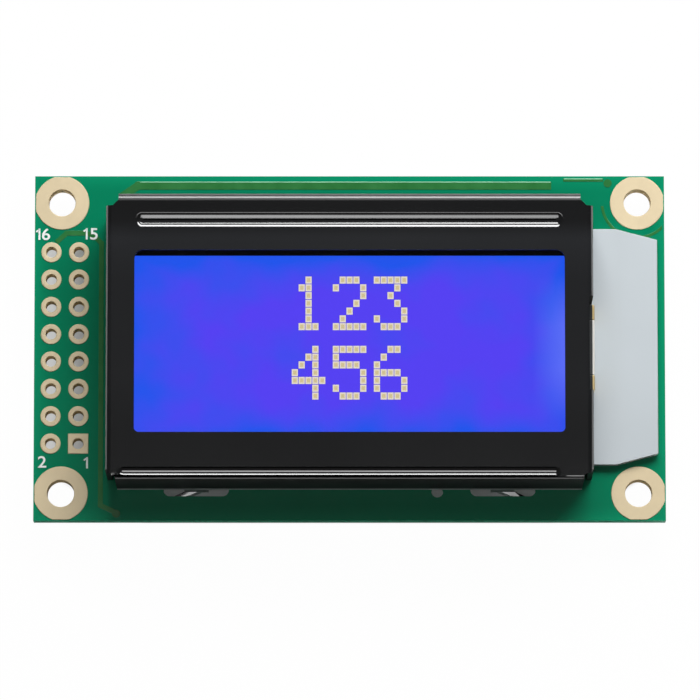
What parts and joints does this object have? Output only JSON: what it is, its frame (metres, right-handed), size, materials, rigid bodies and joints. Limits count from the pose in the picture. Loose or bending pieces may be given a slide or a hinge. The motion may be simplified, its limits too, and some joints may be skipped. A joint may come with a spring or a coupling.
{
  "type": "character lcd module",
  "caption": "Backlit two-line blue character display in a black pressed-steel bezel on a green circuit board with a two-column header along its left side",
  "frame": {"origin": "middle of the rectangle of four mounting holes, on the circuit board's rear face", "axes": "+X to the viewer's right along the lines of characters, +Y to the top of the characters, +Z out of the display face"},
  "size_m": [0.058, 0.032, 0.0115],
  "materials": {
    "solder_mask": "glossy green lacquer over glass-fibre board",
    "bare_plating": "satin pale gold plating",
    "masked_copper": "copper under green lacquer",
    "bezel_black": "satin black coat on pressed steel",
    "polarizer_front": "semi-matte blue film",
    "glass_clear": "clear float glass",
    "seal_dark": "dark printed border and seal",
    "field_blue": "blue field lit from behind",
    "dots_lit": "pale dots lit from behind",
    "polarizer_rear": "blue film",
    "strip_rubber": "matte layered rubber",
    "diffuser": "matte white film",
    "guide_acrylic": "clear acrylic with a frosted back",
    "tray_white": "matte white moulding",
    "light_board": "pale milky laminate",
    "lamp_body": "white lamp body",
    "lamp_metal": "satin pale gold",
    "resin_black": "glossy black resin",
    "chip_black": "matte black glaze",
    "chip_tan": "matte tan ceramic",
    "tin": "tinned metal",
    "strip_gold": "thin gold on copper"
  },
  "bodies": {
    "root": {"circuit_board": "solder_mask", "mounting_hole_rings": "bare_plating", "header_pads": "bare_plating", "vias": "masked_copper", "front_tracks": "masked_copper", "rear_tracks": "masked_copper", "strip_contact_pads": "strip_gold", "bezel": "bezel_black", "front_polarizer": "polarizer_front", "front_glass": "glass_clear", "cell_seal": "seal_dark", "crystal_layer": "field_blue", "lit_dots": "dots_lit", "rear_glass": "glass_clear", "rear_polarizer": "polarizer_rear", "contact_strip_upper": "strip_rubber", "contact_strip_lower": "strip_rubber", "diffuser_film": "diffuser", "light_guide": "guide_acrylic", "light_guide_tray": "tray_white", "backlight_board": "light_board", "backlight_lamp": "lamp_body", "lamp_terminals": "lamp_metal", "controller_cap": "resin_black", "chip_resistors": "chip_black", "chip_capacitors": "chip_tan", "chip_end_caps": "tin", "solder_fillets": "tin", "chip_pads": "tin", "jumper_pads": "tin"}
  },
  "joints": []
}
